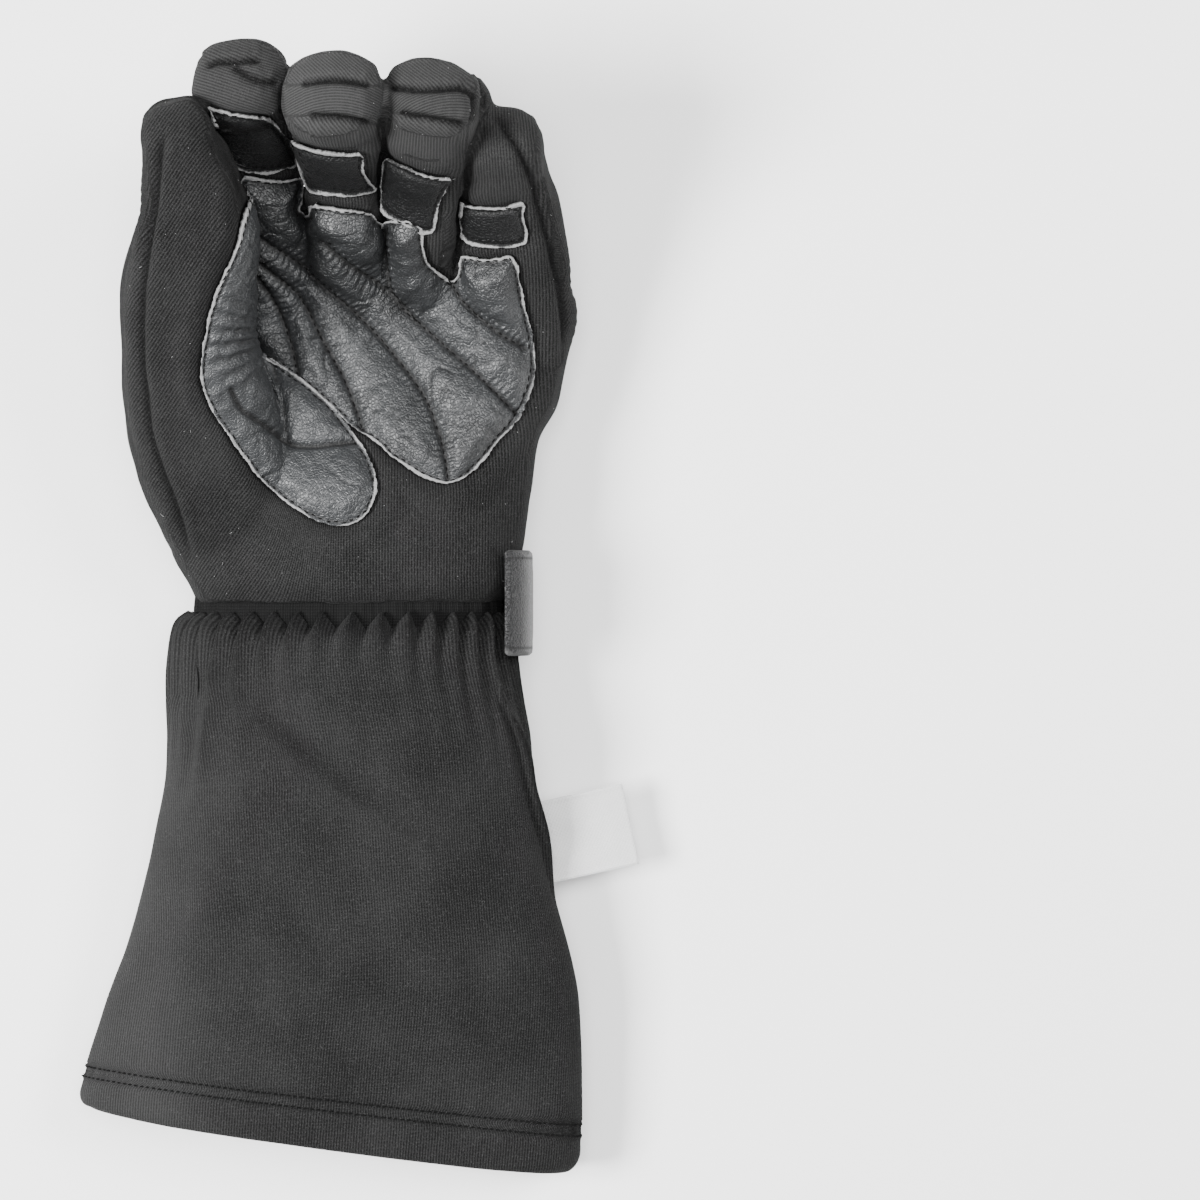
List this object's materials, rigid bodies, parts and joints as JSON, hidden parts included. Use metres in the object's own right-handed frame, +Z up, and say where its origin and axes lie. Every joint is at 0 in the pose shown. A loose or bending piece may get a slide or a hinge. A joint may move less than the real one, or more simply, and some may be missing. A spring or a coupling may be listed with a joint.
{
  "type": "drag racing glove",
  "caption": "Padded knit gauntlet glove for the left hand, palm up with curled fingers, leather grip pieces, gathered wrist, strap and wide cuff.",
  "frame": {"origin": "under the middle of the glove's box, on the surface it lies on", "axes": "+Y towards the fingertips, +Z up out of the palm, +X towards the little finger"},
  "size_m": [0.172, 0.34, 0.1111],
  "materials": {
    "knit": "soft black rib knit",
    "leather": "grained dark grey, pale raw edges",
    "elastic": "matt black elastic",
    "cuff_knit": "smooth black knit",
    "strap_leather": "smooth black",
    "label_cloth": "plain white woven label"
  },
  "bodies": {
    "root": {"hand_shell": "knit", "index_finger": "knit", "middle_finger": "knit", "ring_finger": "knit", "little_finger": "knit", "thumb": "knit", "palm_leather": "leather", "thumb_leather": "leather", "index_pad": "leather", "middle_pad": "leather", "ring_pad": "leather", "little_pad": "leather", "wrist_elastic": "elastic", "gauntlet_cuff": "cuff_knit", "wrist_strap": "strap_leather", "label": "label_cloth"}
  },
  "joints": []
}
